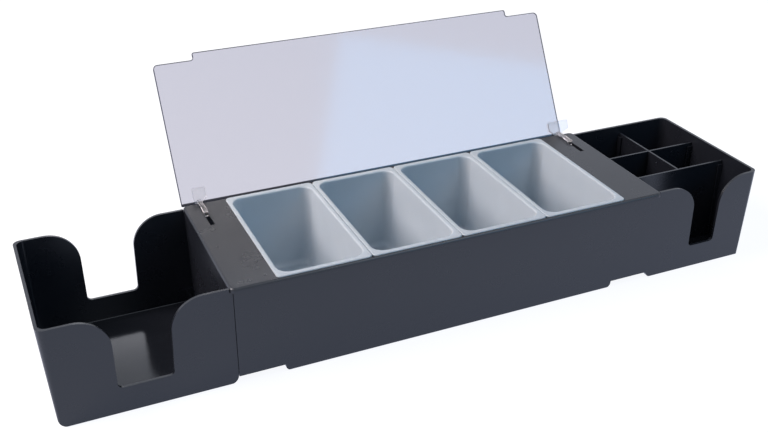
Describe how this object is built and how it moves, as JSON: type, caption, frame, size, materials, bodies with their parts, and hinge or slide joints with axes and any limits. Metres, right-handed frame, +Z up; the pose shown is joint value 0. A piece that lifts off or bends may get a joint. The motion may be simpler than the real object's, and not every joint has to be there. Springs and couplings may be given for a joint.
{
  "type": "condiment caddy",
  "caption": "Long bar condiment centre: a housing with lift-out pans under one clear flip lid, and a napkin caddy and a divided straw caddy pushed on at its ends.",
  "frame": {"origin": "centre of the flat underside of the housing's tub, on the table", "axes": "+X along the length towards the straw caddy, -Y to the front, +Z up"},
  "size_m": [0.8115, 0.2746, 0.2571],
  "materials": {
    "black_plastic": "moulded black ABS, satin outside, fine spark texture inside",
    "white_plastic": "moulded white polypropylene, soft gloss",
    "clear_plastic": "clear polished acrylic sheet",
    "clear_hinge_plastic": "clear moulded acrylic, cemented to the lid"
  },
  "bodies": {
    "base": {"housing": "black_plastic"},
    "lid": {"lid_panel": "clear_plastic", "hinge_bracket_left": "clear_hinge_plastic", "hinge_bracket_right": "clear_hinge_plastic"},
    "pan_1": {"pan_1": "white_plastic"},
    "pan_2": {"pan_2": "white_plastic"},
    "pan_3": {"pan_3": "white_plastic"},
    "pan_4": {"pan_4": "white_plastic"},
    "napkin_caddy": {"napkin_caddy": "black_plastic"},
    "straw_caddy": {"straw_caddy": "black_plastic"},
    "front_divider": {"front_divider": "black_plastic"},
    "rear_divider": {"rear_divider": "black_plastic"},
    "cross_divider": {"cross_divider": "black_plastic"}
  },
  "joints": [
    {"name": "lid_hinge", "type": "hinge", "parent": "base", "child": "lid", "pos_m": [0, 0.0826, 0.1069], "axis": [-1, 0, 0], "range_deg": [-118.74, 0]},
    {"name": "pan_1_lift", "type": "slide", "parent": "base", "child": "pan_1", "axis": [0, 0, 1], "range_m": [0, 0.105]},
    {"name": "pan_2_lift", "type": "slide", "parent": "base", "child": "pan_2", "axis": [0, 0, 1], "range_m": [0, 0.105]},
    {"name": "pan_3_lift", "type": "slide", "parent": "base", "child": "pan_3", "axis": [0, 0, 1], "range_m": [0, 0.105]},
    {"name": "pan_4_lift", "type": "slide", "parent": "base", "child": "pan_4", "axis": [0, 0, 1], "range_m": [0, 0.105]},
    {"name": "napkin_caddy_pull", "type": "slide", "parent": "base", "child": "napkin_caddy", "axis": [-1, 0, 0], "range_m": [0, 0.03]},
    {"name": "straw_caddy_pull", "type": "slide", "parent": "base", "child": "straw_caddy", "axis": [1, 0, 0], "range_m": [0, 0.03]},
    {"name": "front_divider_lift", "type": "slide", "parent": "straw_caddy", "child": "front_divider", "axis": [0, 0, 1], "range_m": [0, 0.11]},
    {"name": "rear_divider_lift", "type": "slide", "parent": "straw_caddy", "child": "rear_divider", "axis": [0, 0, 1], "range_m": [0, 0.11]},
    {"name": "cross_divider_lift", "type": "slide", "parent": "rear_divider", "child": "cross_divider", "axis": [0, 0, 1], "range_m": [0, 0.11]}
  ]
}
